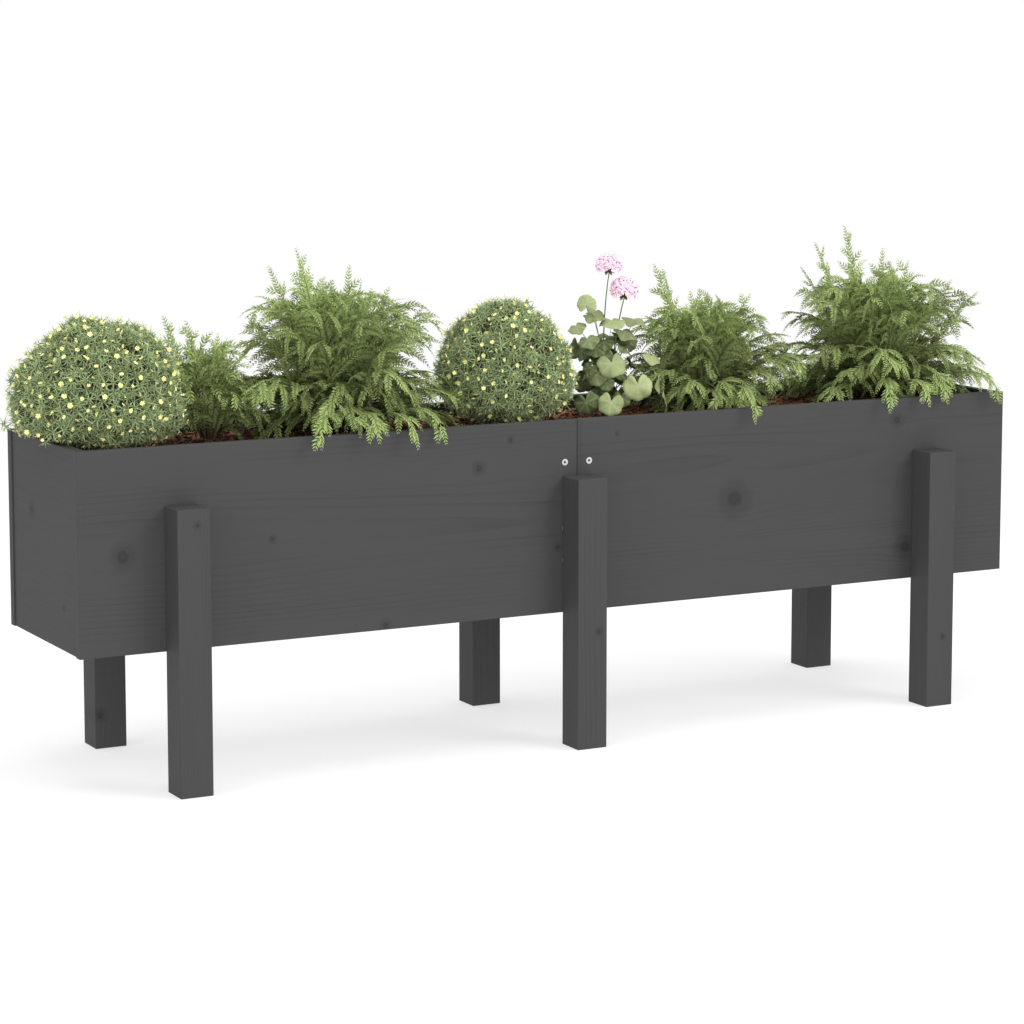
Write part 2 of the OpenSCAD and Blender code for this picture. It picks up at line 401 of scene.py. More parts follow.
def growPiece(name, tree, source, sizes):
    # evaluates the tree once and keeps the outcome as a plain mesh
    holder = bpy.data.objects.new(name + "Holder", source)
    scene.collection.objects.link(holder)
    modifier = holder.modifiers.new("grow", "NODES")
    modifier.node_group = tree
    for item in tree.interface.items_tree:
        if item.in_out == "INPUT" and item.name in sizes:
            modifier[item.identifier] = sizes[item.name]
    evaluated = holder.evaluated_get(bpy.context.evaluated_depsgraph_get())
    mesh = bpy.data.meshes.new_from_object(evaluated)
    holder.modifiers.remove(modifier)
    bpy.data.objects.remove(holder)
    piece = bpy.data.objects.new(name, mesh)
    mesh.name = name
    scene.collection.objects.link(piece)
    mesh.calc_loop_triangles()
    print(name, "grown:", len(mesh.loop_triangles), "triangles")
    return piece


def declare(piece, slot, *replaced):
    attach(piece, "root")
    if replaced:
        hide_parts(*replaced)


def meshFrom(shape, name):
    mesh = bpy.data.meshes.new(name)
    shape.to_mesh(mesh)
    shape.free()
    return mesh


def mark(mesh, label, values):
    # one number or one vector at each point
    if isinstance(values[0], Vector):
        numbers = [number for value in values for number in value]
        mesh.attributes.new(label, "FLOAT_VECTOR", "POINT").data.foreach_set("vector", numbers)
    else:
        mesh.attributes.new(label, "FLOAT", "POINT").data.foreach_set("value", values)


class Spines:
    # paths of stems and sprays, with what the twigs need to know at each point
    def __init__(self, tone=lambda point, own: own):
        self.tone = tone
        self.points = []
        self.edges = []
        self.notes = {"side": [], "twig": [], "girth": [], "shade": []}

    def add(self, path, sides, twigs, girths, shade):
        first = len(self.points)
        self.points += path
        self.edges += [(first + i, first + i + 1) for i in range(len(path) - 1)]
        self.notes["side"] += sides
        self.notes["twig"] += twigs
        self.notes["girth"] += girths
        self.notes["shade"] += [self.tone(point, shade) for point in path]

    def addBare(self, path, girths, shade):
        # a stem without twigs
        self.add(path, [Vector((1, 0, 0))] * len(path), [0.0] * len(path), girths, shade)

    def mesh(self, name):
        made = bpy.data.meshes.new(name)
        made.from_pydata([tuple(point) for point in self.points], self.edges, [])
        for label, values in self.notes.items():
            mark(made, label, values)
        return made


def bend(start, control, end, steps):
    path = []
    for i in range(steps + 1):
        t = i / steps
        path.append(start.lerp(control, t).lerp(control.lerp(end, t), t))
    return path


def tubes(graph, spines, sides):
    # round stems along the paths, as thick as their girth says
    ring = graph.node("GeometryNodeCurvePrimitiveCircle", inputs={"Resolution": sides, "Radius": 1.0})
    inputs = {"Curve": spines, "Profile Curve": ring, "Fill Caps": True, "Scale": graph.named("girth")}
    return graph.node("GeometryNodeCurveToMesh", inputs=inputs)


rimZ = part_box("front_board_left")[1].z
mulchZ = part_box("bark_mulch")[1].z
# faces of the walls, from the middle
innerFaces = (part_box("end_panel_right")[0].x, -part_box("front_board_left")[1].y)
outerFaces = (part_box("front_board_right")[1].x, -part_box("front_board_left")[0].y)


def clearOfWalls(point, before, room=0.006):
    # keeps a point above the mulch, and below the rim on the side of a wall where the path already is
    if point.z < rimZ + room:
        for axis in (0, 1):
            away = abs(point[axis])
            if abs(before[axis]) > (innerFaces[axis] + outerFaces[axis]) / 2:
                away = max(away, outerFaces[axis] + room * 1.6)
            else:
                away = min(away, innerFaces[axis] - room)
            point[axis] = math.copysign(away, point[axis])
    if abs(point.x) < outerFaces[0] and abs(point.y) < outerFaces[1]:
        point.z = max(point.z, mulchZ + room)
    return point


# sizes shared by the four junipers, in metres
juniperHabit = {
    "stemStep": 0.012,       # distance between the points of a stem
    "sprayPitch": 0.0170,    # distance between two sprays on a stem
    "sprayLength": 0.085,
    "sprayStep": 0.008,
    "sprayAngle": 44,        # degrees between a spray and its stem
    "droop": 1.3,            # how far a spray bends down over its length
    "stemGirth": 0.0016,
    "sprayGirth": 0.0006,
    "fullness": 0.7,         # under 1, tips fill the corners of the plant's outline
    "skirtTips": (0.475, 0.56),          # heights
    "overhangTips": (0.476, 0.492),
    "overhangBend": (0.565, 0.590),
    "overhangReach": (0.014, 0.030),     # past the outer face of the wall
}
# leaders are shoots that stand above the crown: tip beside the middle, tip in depth, tip height
junipers = {
    "juniper_slim": {
        "seed": 3, "stems": 15, "skirt": 26, "crown": 0.615, "length": 0.7, "spread": 1.9, "overhang": 0,
        "leaders": [(-0.062, 0.02, 0.668), (-0.038, -0.01, 0.662), (-0.02, 0.02, 0.635),
                    (0.008, -0.02, 0.642), (0.03, 0.0, 0.632)],
    },
    "juniper_left": {
        "seed": 5, "stems": 42, "skirt": 62, "crown": 0.69, "length": 1.0, "spread": 1.2, "overhang": 4,
        "leaders": [(-0.148, 0.0, 0.664), (-0.105, 0.02, 0.735), (-0.078, -0.02, 0.764), (-0.05, 0.03, 0.74),
                    (-0.01, 0.0, 0.712), (0.028, 0.02, 0.732), (0.04, -0.03, 0.70), (0.088, 0.01, 0.697),
                    (0.142, 0.0, 0.668)],
    },
    "juniper_middle": {
        "seed": 8, "stems": 34, "skirt": 50, "crown": 0.645, "length": 0.9, "spread": 1.65, "overhang": 1,
        "leaders": [(-0.09, 0.0, 0.718), (-0.06, 0.02, 0.70), (-0.035, -0.02, 0.674), (0.014, 0.03, 0.672),
                    (0.05, 0.0, 0.65), (0.096, 0.01, 0.662)],
    },
    "juniper_right": {
        "seed": 13, "stems": 44, "skirt": 62, "crown": 0.68, "length": 1.0, "spread": 1.04, "overhang": 4,
        "leaders": [(-0.15, 0.0, 0.705), (-0.11, 0.02, 0.742), (-0.066, 0.0, 0.768), (0.018, 0.01, 0.728),
                    (0.048, -0.02, 0.708), (0.078, 0.03, 0.662), (0.15, 0.0, 0.672), (0.19, -0.02, 0.652)],
    },
}


def growSpray(spines, start, heading, side, length, shade, droop):
    steps = max(3, round(length / juniperHabit["sprayStep"]))
    path, sides, twigs, girths = [start.copy()], [side.copy()], [0.4], [juniperHabit["sprayGirth"]]
    direction = heading.normalized()
    for i in range(1, steps + 1):
        t = i / steps
        direction = (direction - up * droop / steps * (0.4 + t)).normalized()
        path.append(clearOfWalls(path[-1] + direction * length / steps, path[-1]))
        sides.append((side - direction * side.dot(direction)).normalized())
        twigs.append(max(0.25, (1 - t) ** 0.5 * min(1.0, 0.5 + 2.4 * t)))
        girths.append(juniperHabit["sprayGirth"] * (1 - 0.6 * t))
    spines.add(path, sides, twigs, girths, shade)


def growStem(spines, draw, path, roll, bare, length, droop, spread):
    # a stem and the sprays that leave it by turns to the left and to the right
    steps = len(path) - 1
    shade = draw.uniform(0.1, 1.0)
    sides, twigs, girths = [], [], []
    hand, walked = 1, 0.0
    for i, point in enumerate(path):
        t = i / steps
        ahead = (path[min(i + 1, steps)] - path[max(i - 1, 0)]).normalized()
        flat = ahead.cross(up)
        flat = flat.normalized() if flat.length > 0.55 else Vector((1, 0, 0)) - ahead * ahead.x
        side = (Matrix.Rotation(roll, 3, ahead) @ flat).normalized()
        sides.append(side)
        twigs.append(0.0 if t < bare else 0.25 + 0.85 * min(1.0, 0.5 + t) * (1 - t) ** 0.4)
        girths.append(juniperHabit["stemGirth"] * (1 - 0.8 * t))
        if bare < t < 0.9:
            walked += (path[i] - path[i - 1]).length
        while walked > juniperHabit["sprayPitch"]:
            walked -= juniperHabit["sprayPitch"]
            hand = -hand
            angle = math.radians(juniperHabit["sprayAngle"] * spread * draw.uniform(0.7, 1.15))
            turn = Matrix.Rotation(draw.uniform(-0.5, 0.5), 3, ahead)
            sideways = turn @ side * hand
            heading = ahead * math.cos(angle) + sideways * math.sin(angle)
            across = ahead * math.sin(angle) - sideways * math.cos(angle)
            across = Matrix.Rotation(draw.uniform(-0.4, 0.4), 3, heading) @ across
            reach = juniperHabit["sprayLength"] * length * (1.1 - 0.72 * t) * draw.uniform(0.8, 1.15)
            tone = min(1.0, shade * 0.5 + draw.uniform(0, 0.5))
            growSpray(spines, point, heading, across.normalized(), reach, tone, droop)
    spines.add(path, sides, twigs, girths, shade)


def growJuniper(name, form):
    low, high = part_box(name)
    middle = (low + high) / 2
    radius = (high.x - low.x) / 2 * form["spread"]
    depth = min(radius, outerFaces[1] + 0.03)
    draw = random.Random(form["seed"])
    root = Vector((middle.x, middle.y, mulchZ))

    def tone(point, own):
        # painted shade and light: dark inside the bush, light at its outside and at its top, mixed with each
        # path's own tone
        away = Vector(((point.x - root.x) / radius, (point.y - root.y) / depth)).length
        away = max(away, (point.z - mulchZ) / (form["crown"] - mulchZ))
        return own * 0.35 + min(1.0, away) ** 1.8 * 0.65

    # the shade attribute of each point carries this painted shade and light to the leaves and the bark
    crown = Spines(tone)
    skirt = Spines(tone)

    def stem(spines, start, control, tip, roll, bare, length, droop, spread=1.0):
        steps = max(6, round((tip - start).length / juniperHabit["stemStep"]))
        path = bend(start, control, tip, steps)
        for before, point in zip([start] + path, path):
            clearOfWalls(point, before)
        growStem(spines, draw, path, roll, bare, length, droop, spread)

    droop = juniperHabit["droop"]
    fullness = juniperHabit["fullness"]
    waist = (form["crown"] + mulchZ) / 2
    for i in range(form["stems"]):
        angle = i * goldenTurn + draw.uniform(-0.2, 0.2)
        rise = math.radians(6 + 78 * (i + 0.5) / form["stems"])
        reach = draw.uniform(0.75, 0.95) * math.cos(rise) ** fullness
        out = Vector((math.cos(angle) * radius, math.sin(angle) * depth, 0)) * reach
        tip = root + out
        tip.z = waist + (form["crown"] - waist) * math.sin(rise) ** fullness * draw.uniform(0.8, 1.05)
        control = root + out * draw.uniform(0.25, 0.5)
        control.z = tip.z + draw.uniform(0.01, 0.06)
        stem(crown, root + out * 0.12, control, tip, draw.uniform(-0.9, 0.9), 0.12, form["length"], droop)
    for i in range(form["skirt"]):
        angle = 2 * math.pi * (i + draw.uniform(-0.3, 0.3)) / form["skirt"]
        reach = draw.uniform(0.6, 1.12)
        out = Vector((math.cos(angle) * radius, math.sin(angle) * depth / max(1.0, reach), 0)) * reach
        tip = root + out
        tip.z = draw.uniform(*juniperHabit["skirtTips"])
        control = root + out * draw.uniform(0.45, 0.7)
        control.z = tip.z + draw.uniform(0.04, 0.085)
        roll = draw.uniform(-0.4, 0.4)
        stem(skirt, root + out * 0.15, control, tip, roll, 0.1, form["length"] * 0.95, droop)
    for i in range(form["overhang"] * 2):
        # a few plumes hang over the rim, in front and behind
        share = (i // 2 + draw.uniform(0.2, 0.8)) / form["overhang"]
        over = outerFaces[1] + draw.uniform(*juniperHabit["overhangReach"])
        out = Vector(((share * 1.5 - 0.75) * radius, over if i % 2 else -over, 0))
        tip = root + out
        tip.z = draw.uniform(*juniperHabit["overhangTips"])
        control = root + out * 0.9
        control.z = draw.uniform(*juniperHabit["overhangBend"])
        roll = draw.uniform(-0.3, 0.3)
        stem(skirt, root + out * 0.15, control, tip, roll, 0.35, form["length"] * 0.6, droop)
    for x, y, z in form["leaders"]:
        tip = Vector((middle.x + x, middle.y + y, z))
        start = root + Vector((x * 0.25, y * 0.5, 0))
        control = root + Vector((x * 0.5, y, (z - mulchZ) * 0.6))
        stem(crown, start, control, tip, draw.uniform(-0.5, 0.5), 0.25, form["length"] * 0.62, 0.5, 0.75)
    return {"crown": crown.mesh(name + "Crown"), "skirt": skirt.mesh(name + "Skirt")}


def buildSprays(graph, given):
    spines = graph.node("GeometryNodeMeshToCurve", inputs={0: given})
    bark = tubes(graph, spines, 3)
    bark = graph.paint(bark, given.out("Bark"))

    # a twig is a slim closed blade along Z, widest low down and flattened in Y
    x, y, z = graph.split(graph.position())
    belly = 0.38
    inputs = {"Vertices": 4, "Radius Top": given.out("Twig Width"), "Radius Bottom": 0.0, "Depth": belly}
    foot = graph.node("GeometryNodeMeshCone", {"fill_type": "NONE"}, inputs)
    inputs = {"Vertices": 4, "Radius Bottom": given.out("Twig Width"), "Depth": 1.0 - belly}
    head = graph.node("GeometryNodeMeshCone", {"fill_type": "NONE"}, inputs)
    head = graph.move(head, graph.combine(x, y, z + belly))
    twig = graph.node("GeometryNodeMergeByDistance", inputs={"Geometry": graph.join(foot, head)})
    twig = graph.store(twig, "along", z)
    twig = graph.move(twig, graph.combine(x, y * 0.35, z))
    inputs = {"Curve": spines, "Length": given.out("Twig Spacing")}
    points = graph.node("GeometryNodeResampleCurve", {"mode": "LENGTH"}, inputs)
    ahead = graph.node("GeometryNodeInputTangent")
    side = graph.named("side", "FLOAT_VECTOR")
    face = graph.vector("CROSS_PRODUCT", ahead, side)
    size = graph.named("twig")
    rows = []
    for seed, (direction, hand, length) in enumerate(((side, 1, 1.0), (side, -1, 1.0), (face, 1, 0.65))):
        angle = given.out("Twig Angle") + graph.random(-0.12, 0.12, seed)
        forward = graph.stretch(ahead, graph.math("COSINE", angle))
        sideways = graph.stretch(direction, graph.math("SINE", angle) * hand)
        heading = graph.vector("ADD", forward, sideways)
        leans = [graph.random(-0.07, 0.07, seed + shift) for shift in (20, 30)]
        heading = graph.vector("ADD", heading, graph.combine(*leans, -0.08))
        scale = size * given.out("Twig Length") * graph.random(0.85, 1.15, seed + 10) * length
        grown = graph.math("GREATER_THAN", size, 0.1 if length == 1.0 else 0.75)
        rows.append(graph.place(points, twig, graph.aim(heading, ahead), scale, grown))
    leaves = graph.realize(graph.join(*rows))
    leaves = graph.paint(leaves, given.out("Leaf"))
    return graph.join(bark, leaves)


# juniper leaf colours: deep is painted shade for leaves inside the bush, middle their own green, young the
# paler tips
leafColours = {
    "deep": colour(46, 58, 28),
    "middle": colour(114, 134, 70),
    "young": colour(180, 198, 124),
}


def juniperLeaf():
    graph, place = newMaterial("juniperLeaf", 0.6, 0.3)
    shade = graph.attribute("shade")
    along = graph.attribute("along")
    cloud = graph.noise(place, 22.0, 2.0, 4.0)
    # painted shade and light: the shade attribute darkens leaves inside the bush and lightens those outside;
    # the paler young tips show most where it is light, which is partly painted light
    light = shade * 0.9 + (cloud - 0.5) * 0.5
    tint = graph.mixColour(light, leafColours["deep"], leafColours["middle"])
    tint = graph.mixColour(along * (0.1 + shade * 0.7), tint, leafColours["young"])
    return finishMaterial(graph, tint)


barkColours = {
    "dark": colour(52, 40, 30),
    "light": colour(98, 78, 56),
    "green": colour(112, 128, 74),      # near the tips
}


def stemBark():
    graph, place = newMaterial("stemBark", 0.85, 0.2)
    ridges = graph.noise(graph.vector("MULTIPLY", place, (900.0, 900.0, 120.0)), 1.0, 2.0, 6.0)
    tint = graph.mixColour(ridges, barkColours["dark"], barkColours["light"])
    tint = graph.mixColour(graph.attribute("shade") * 1.8 - 0.4, tint, barkColours["green"])
    return finishMaterial(graph, tint, None, ridges, (0.4, 0.0003))


juniperSizes = {
    "Twig Length": 0.0155,
    "Twig Spacing": 0.0050,
    "Twig Width": 0.150,     # radius beside its length
    "Twig Angle": 0.68,      # radians from the stem
}
leaf = juniperLeaf()
bark = stemBark()
juniperSizes.update({"Leaf": leaf, "Bark": bark})
sprayTree = makeTree("juniperSprays", juniperSizes, buildSprays)
for name, form in junipers.items():
    for part, spines in growJuniper(name, form).items():
        declare(growPiece(name + "_" + part, sprayTree, spines, juniperSizes), "juniper_leaves", name)
print("junipers grown")


mounds = {
    "flower_mound_left": {
        "seed": 21, "stems": 70,
        "sprigs": [((-0.795, 0.112, 0.516), 0.007), ((-0.812, 0.118, 0.514), 0.005),
                   ((-0.795, -0.050, 0.516), 0.007), ((-0.813, -0.060, 0.508), 0.004)],
    },
    "flower_mound_middle": {"seed": 34, "stems": 50, "sprigs": []},
}
moundSizes = {
    "Tuft Spacing": 0.0078,
    "Inner Spacing": 0.008,
    "Inner Depth": 0.018,
    "Needle Length": 0.0125,
    "Needle Width": 0.075,      # radius beside its length
    "Seed": 1,
}
bloomSizes = {
    "Flower Spacing": 0.0160,
    "Flower Size": 0.0031,
    "Seed": 1,
}


def moundDome(name, form):
    # a lumpy dome that carries the tufts
    low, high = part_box(name)
    middle = (low + high) / 2
    radius = (high.x - low.x) / 2
    widest = low.z + (high.z - low.z) * 0.32
    shape = bmesh.new()
    bmesh.ops.create_icosphere(shape, subdivisions=5, radius=1)
    for vertex in shape.verts:
        way = vertex.co.normalized()
        # the dome is parted into rounded clumps by dark creases
        lump = noise.noise(way * 2.2 + Vector((form["seed"], 0, 0))) * 0.08
        crease = abs(noise.noise(way * 3.6 + Vector((0, form["seed"], 0)))) / 0.2
        lump -= max(0.0, 1 - crease) ** 1.4 * 0.2
        height = (high.z - widest if way.z > 0 else widest - low.z) * way.z
        flat = Vector((way.x, way.y, 0)).normalized() * (1 - abs(way.z) ** 2.1) ** 0.5 * radius
        vertex.co = Vector((middle.x, middle.y, widest)) + (flat + up * height) * (0.97 + lump)
        vertex.co.z = max(vertex.co.z, mulchZ + 0.004)
        if vertex.co.z < rimZ + 0.012:
            vertex.co.x = max(vertex.co.x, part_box("end_panel_left")[1].x + 0.012)
    domed = len(shape.verts)
    for place, size in form["sprigs"]:
        # small bunches that lean out over the rim
        move = Matrix.Translation(place)
        bmesh.ops.create_icosphere(shape, subdivisions=2, radius=size, matrix=move)
    mesh = meshFrom(shape, name + "Dome")
    mark(mesh, "dome", [1.0 if i < domed else 0.0 for i in range(len(mesh.vertices))])
    return mesh


def petalFlower(graph, petals, sides, foot, head, reach, thickness):
    # flat petals round a middle, all of size 1; each opens from foot to head in width
    inputs = {"Vertices": sides, "Radius Bottom": foot, "Radius Top": head, "Depth": 1.0}
    petal = graph.node("GeometryNodeMeshCone", {"fill_type": "NGON"}, inputs)
    x, y, z = graph.split(graph.position())
    petal = graph.move(petal, graph.combine(x, y * thickness, z))
    circle = graph.node("GeometryNodeMeshCircle", inputs={"Vertices": petals, "Radius": 0.12})
    outwards = graph.vector("ADD", graph.position(), graph.combine(0.0, 0.0, reach))
    turned = graph.aim(outwards, (0.0, 0.0, 1.0), "Z", "Y")
    return graph.realize(graph.place(circle, petal, turned, (1.0, 1.0, 1.0)))


def scatter(graph, surface, spacing, seed, tuft, size, lift, tilt):
    # tufts stand on the surface, a little above or below it, and lean at random
    settings = {"distribute_method": "POISSON"}
    inputs = {"Mesh": surface, "Distance Min": spacing, "Density Max": 90000.0, "Seed": seed}
    points = graph.node("GeometryNodeDistributePointsOnFaces", settings, inputs)
    settings = {"rotation_space": "LOCAL"}
    inputs = {0: points.out("Rotation"), 1: graph.randomTurn(tilt)}
    turned = graph.node("FunctionNodeRotateRotation", settings, inputs)
    offset = graph.stretch(points.out("Normal"), graph.random(*lift, 8))
    moved = graph.shift(points, offset)
    moved = graph.store(moved, "shade", graph.random(0.0, 1.0, 9))
    return graph.place(moved, tuft, turned, size * graph.random(0.75, 1.2, 10))


def buildMound(graph, given):
    position = graph.position()
    inputs = {"Vertices": 3, "Radius Bottom": given.out("Needle Width"), "Depth": 1.0}
    needle = graph.node("GeometryNodeMeshCone", {"fill_type": "NGON"}, inputs)
    needle = graph.store(needle, "along", graph.split(position)[2])
    ball = graph.node("GeometryNodeMeshIcoSphere", inputs={"Radius": 0.1, "Subdivisions": 1})
    upper = graph.math("GREATER_THAN", graph.split(position)[2], -0.06)
    tuft = graph.place(ball, needle, graph.aim(position, (0.3, 0.2, 1.0)), graph.random(0.7, 1.15, 2), upper)
    tuft = graph.realize(tuft)

    length = given.out("Needle Length")
    spacing, seed = given.out("Tuft Spacing"), given.out("Seed")
    shell = scatter(graph, given, spacing, seed, tuft, length, (-0.010, 0.004), 0.6)
    # a second layer of tufts sunk inside the mound, painted dark as the shade inside it
    normal = graph.node("GeometryNodeInputNormal")
    inward = graph.stretch(normal, given.out("Inner Depth") * -1.0)
    sprigs = graph.math("LESS_THAN", graph.named("dome"), 0.5)
    inputs = {"Geometry": given, "Selection": sprigs}
    core = graph.node("GeometryNodeDeleteGeometry", {"domain": "POINT"}, inputs)
    core = graph.shift(core, inward)
    spacing = given.out("Inner Spacing")
    core = scatter(graph, core, spacing, seed + 1, tuft, length * 1.3, (-0.01, 0.004), 0.6)
    shell = graph.paint(graph.realize(shell), given.out("Leaf"))
    core = graph.paint(graph.realize(core), given.out("Shaded Inner Leaf"))
    return graph.join(shell, core)


def buildBlooms(graph, given):
    petals = petalFlower(graph, 5, 4, 0.12, 0.5, 0.06, 0.28)
    petals = graph.paint(petals, given.out("Petal"))
    eye = graph.node("GeometryNodeMeshCone", inputs={"Vertices": 5, "Radius Bottom": 0.3, "Depth": 0.3})
    eye = graph.paint(eye, given.out("Eye"))
    flower = graph.join(petals, eye)
    size, spacing = given.out("Flower Size"), given.out("Flower Spacing")
    return graph.realize(scatter(graph, given, spacing, given.out("Seed"), flower, size, (0.002, 0.010), 0.7))


def needleLeaf(name, deep, middle, tip):
    graph, place = newMaterial(name, 0.6, 0.3)
    cloud = graph.noise(place, 30.0, 2.0, 3.0)
    light = graph.attribute("shade") * 0.7 + (cloud - 0.5) * 0.8 + 0.15
    tint = graph.mixColour(light, deep, middle)
    tint = graph.mixColour(graph.attribute("along") * 0.75, tint, tip)
    return finishMaterial(graph, tint)


def softPetal(name, first, second, scale):
    graph, place = newMaterial(name, 0.55, 0.25)
    veins = graph.noise(place, scale, 2.0, 5.0)
    return finishMaterial(graph, graph.mixColour(veins, first, second))


moundGreens = {      # deep, middle, tip
    "outside": (colour(80, 98, 56), colour(134, 154, 102), colour(196, 208, 160)),
    # inside: the dark greens of the sunk tufts, painted shade inside the mound
    "inside": (colour(38, 46, 26), colour(58, 68, 40), colour(84, 94, 58)),
}
moundSizes["Leaf"] = needleLeaf("moundLeaf", *moundGreens["outside"])
moundSizes["Shaded Inner Leaf"] = needleLeaf("moundShadedInnerLeaf", *moundGreens["inside"])
bloomSizes["Petal"] = softPetal("yellowPetal", colour(230, 226, 136), colour(245, 243, 178), 300.0)
bloomSizes["Eye"] = softPetal("yellowEye", colour(206, 192, 84), colour(222, 210, 110), 500.0)
moundTree = makeTree("flowerMound", moundSizes, buildMound)
bloomTree = makeTree("moundBlooms", bloomSizes, buildBlooms)


def moundStems(name, form):
    # bare stems that fan out under the leaves
    low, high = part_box(name)
    middle = (low + high) / 2
    draw = random.Random(form["seed"])
    spines = Spines()
    root = Vector((middle.x, middle.y, mulchZ))
    for i in range(form["stems"]):
        angle = i * goldenTurn
        rise = math.radians(10 + 75 * (i + 0.5) / form["stems"])
        out = Vector((math.cos(angle), math.sin(angle), 0)) * math.cos(rise) * (high.x - low.x) / 2 * 0.86
        tip = root + out + up * (high.z - mulchZ) * math.sin(rise) * 0.86
        tip.z = max(tip.z, rimZ + 0.01)
        control = root + out * 0.4 + up * (tip.z - mulchZ) * 0.7
        path = bend(root + out * 0.15, control, tip, 7)
        girths = [0.0013 * (1 - 0.6 * i / 7) for i in range(8)]
        spines.addBare(path, girths, draw.random())
    return spines.mesh(name + "Stems")


def buildStems(graph, given):
    spines = graph.node("GeometryNodeMeshToCurve", inputs={0: given})
    return graph.paint(graph.realize(tubes(graph, spines, given.out("Sides"))), given.out("Bark"))


stemSizes = {"Sides": 4, "Bark": bark}
stemTree = makeTree("bareStems", stemSizes, buildStems)
for name, form in mounds.items():
    moundSizes["Seed"] = form["seed"]
    bloomSizes["Seed"] = form["seed"] + 2
    declare(growPiece(name + "_leaves", moundTree, moundDome(name, form), moundSizes), "mound_leaves", name)
    declare(growPiece(name + "_flowers", bloomTree, moundDome(name, form), bloomSizes), "mound_leaves")
    declare(growPiece(name + "_stems", stemTree, moundStems(name, form), stemSizes), "mound_leaves")
print("mounds grown")


# each leaf: its middle beside the plant's, width, way the blade faces, turn of its tip, lightness; the
# lightness is painted light and shade, high for lit leaves, low for leaves in shade
geraniumLeaves = [
    ((-0.034, 0.000, 0.660), 0.032, (-0.5, -0.8, 0.25), 170, 0.9),
    ((0.001, -0.020, 0.634), 0.042, (-0.20, -0.30, 0.95), 20, 0.8),
    ((0.054, 0.000, 0.632), 0.046, (0.15, -0.26, 0.95), -30, 0.7),
    ((-0.046, 0.010, 0.624), 0.030, (-0.5, -0.4, 0.8), 40, 0.7),
    ((-0.024, -0.010, 0.592), 0.040, (-0.3, -0.4, 0.8), 10, 0.1),
    ((-0.017, -0.050, 0.570), 0.047, (-0.35, -0.70, 0.60), 5, 0.7),
    ((0.013, -0.080, 0.535), 0.046, (-0.40, -0.90, 0.10), 4, 1.0),
    ((-0.040, -0.088, 0.514), 0.042, (-0.40, -0.75, 0.50), -10, 0.7),
    ((0.056, -0.050, 0.577), 0.032, (0.1, -0.6, 0.8), -25, 0.8),
    ((0.062, -0.062, 0.538), 0.042, (0.86, -0.45, 0.10), 15, 0.8),
    ((0.070, -0.070, 0.508), 0.036, (0.86, -0.40, 0.20), 25, 0.7),
    ((-0.066, -0.056, 0.512), 0.040, (-0.6, -0.75, 0.1), 15, 0.1),
    ((-0.036, -0.034, 0.552), 0.036, (-0.6, -0.6, 0.3), 20, 0.4),
    ((0.014, 0.014, 0.606), 0.040, (0.1, -0.2, 0.95), 120, 0.2),
    ((-0.018, 0.004, 0.643), 0.040, (-0.10, -0.35, 0.93), 60, 0.5),
    ((0.030, -0.014, 0.614), 0.044, (0.20, -0.38, 0.90), -20, 0.5),
    ((-0.042, -0.020, 0.606), 0.036, (-0.40, -0.40, 0.80), 30, 0.3),
    ((0.046, 0.006, 0.604), 0.038, (0.30, -0.45, 0.85), -40, 0.4),
    ((-0.030, 0.046, 0.590), 0.044, (-0.2, 0.8, 0.5), 0, 0.7),
    ((0.030, 0.056, 0.568), 0.046, (0.3, 0.85, 0.4), 0, 0.8),
    ((0.000, 0.070, 0.532), 0.042, (0.0, 0.95, 0.3), 10, 0.6),
    ((0.056, 0.025, 0.596), 0.036, (0.8, 0.2, 0.5), 0, 0.6),
]
umbels = [      # middle of each flower head beside the plant's middle, and its size
    ((0.006, 0.000, 0.722), 1.0),
    ((0.029, -0.008, 0.682), 1.1),
]
geraniumHabit = {
    "thickness": 0.0005,
    "lobes": 7,
    "ruffle": 0.13,         # beside the leaf's radius
    "cup": 0.20,
    # fillers are painted dark, as shade between the other leaves
    "fillers": 22,          # small dark leaves between the others
    "stalkGirth": 0.0007,
    "stemGirth": 0.0014,
    "umbelWidth": 0.0145,   # from its middle to the florets
    "umbelHeight": 0.0130,
    "florets": 40,
}


def allLeaves():
    # the leaves listed above, and fillers at random inside the plant
    draw = random.Random(44)
    leaves = list(geraniumLeaves)
    for i in range(geraniumHabit["fillers"]):
        angle = i * goldenTurn
        out = Vector((math.cos(angle), math.sin(angle), 0)) * draw.uniform(0.012, 0.048)
        place = (out.x, out.y, 0.505 + 0.105 * i / geraniumHabit["fillers"])
        facing = (out.x * 20, out.y * 20, draw.uniform(0.2, 0.9))
        # painted shade: fillers get a low lightness
        width, spin, light = draw.uniform(0.026, 0.036), draw.uniform(-40, 40), draw.uniform(0.0, 0.35)
        leaves.append((place, width, facing, spin, light))
    return leaves


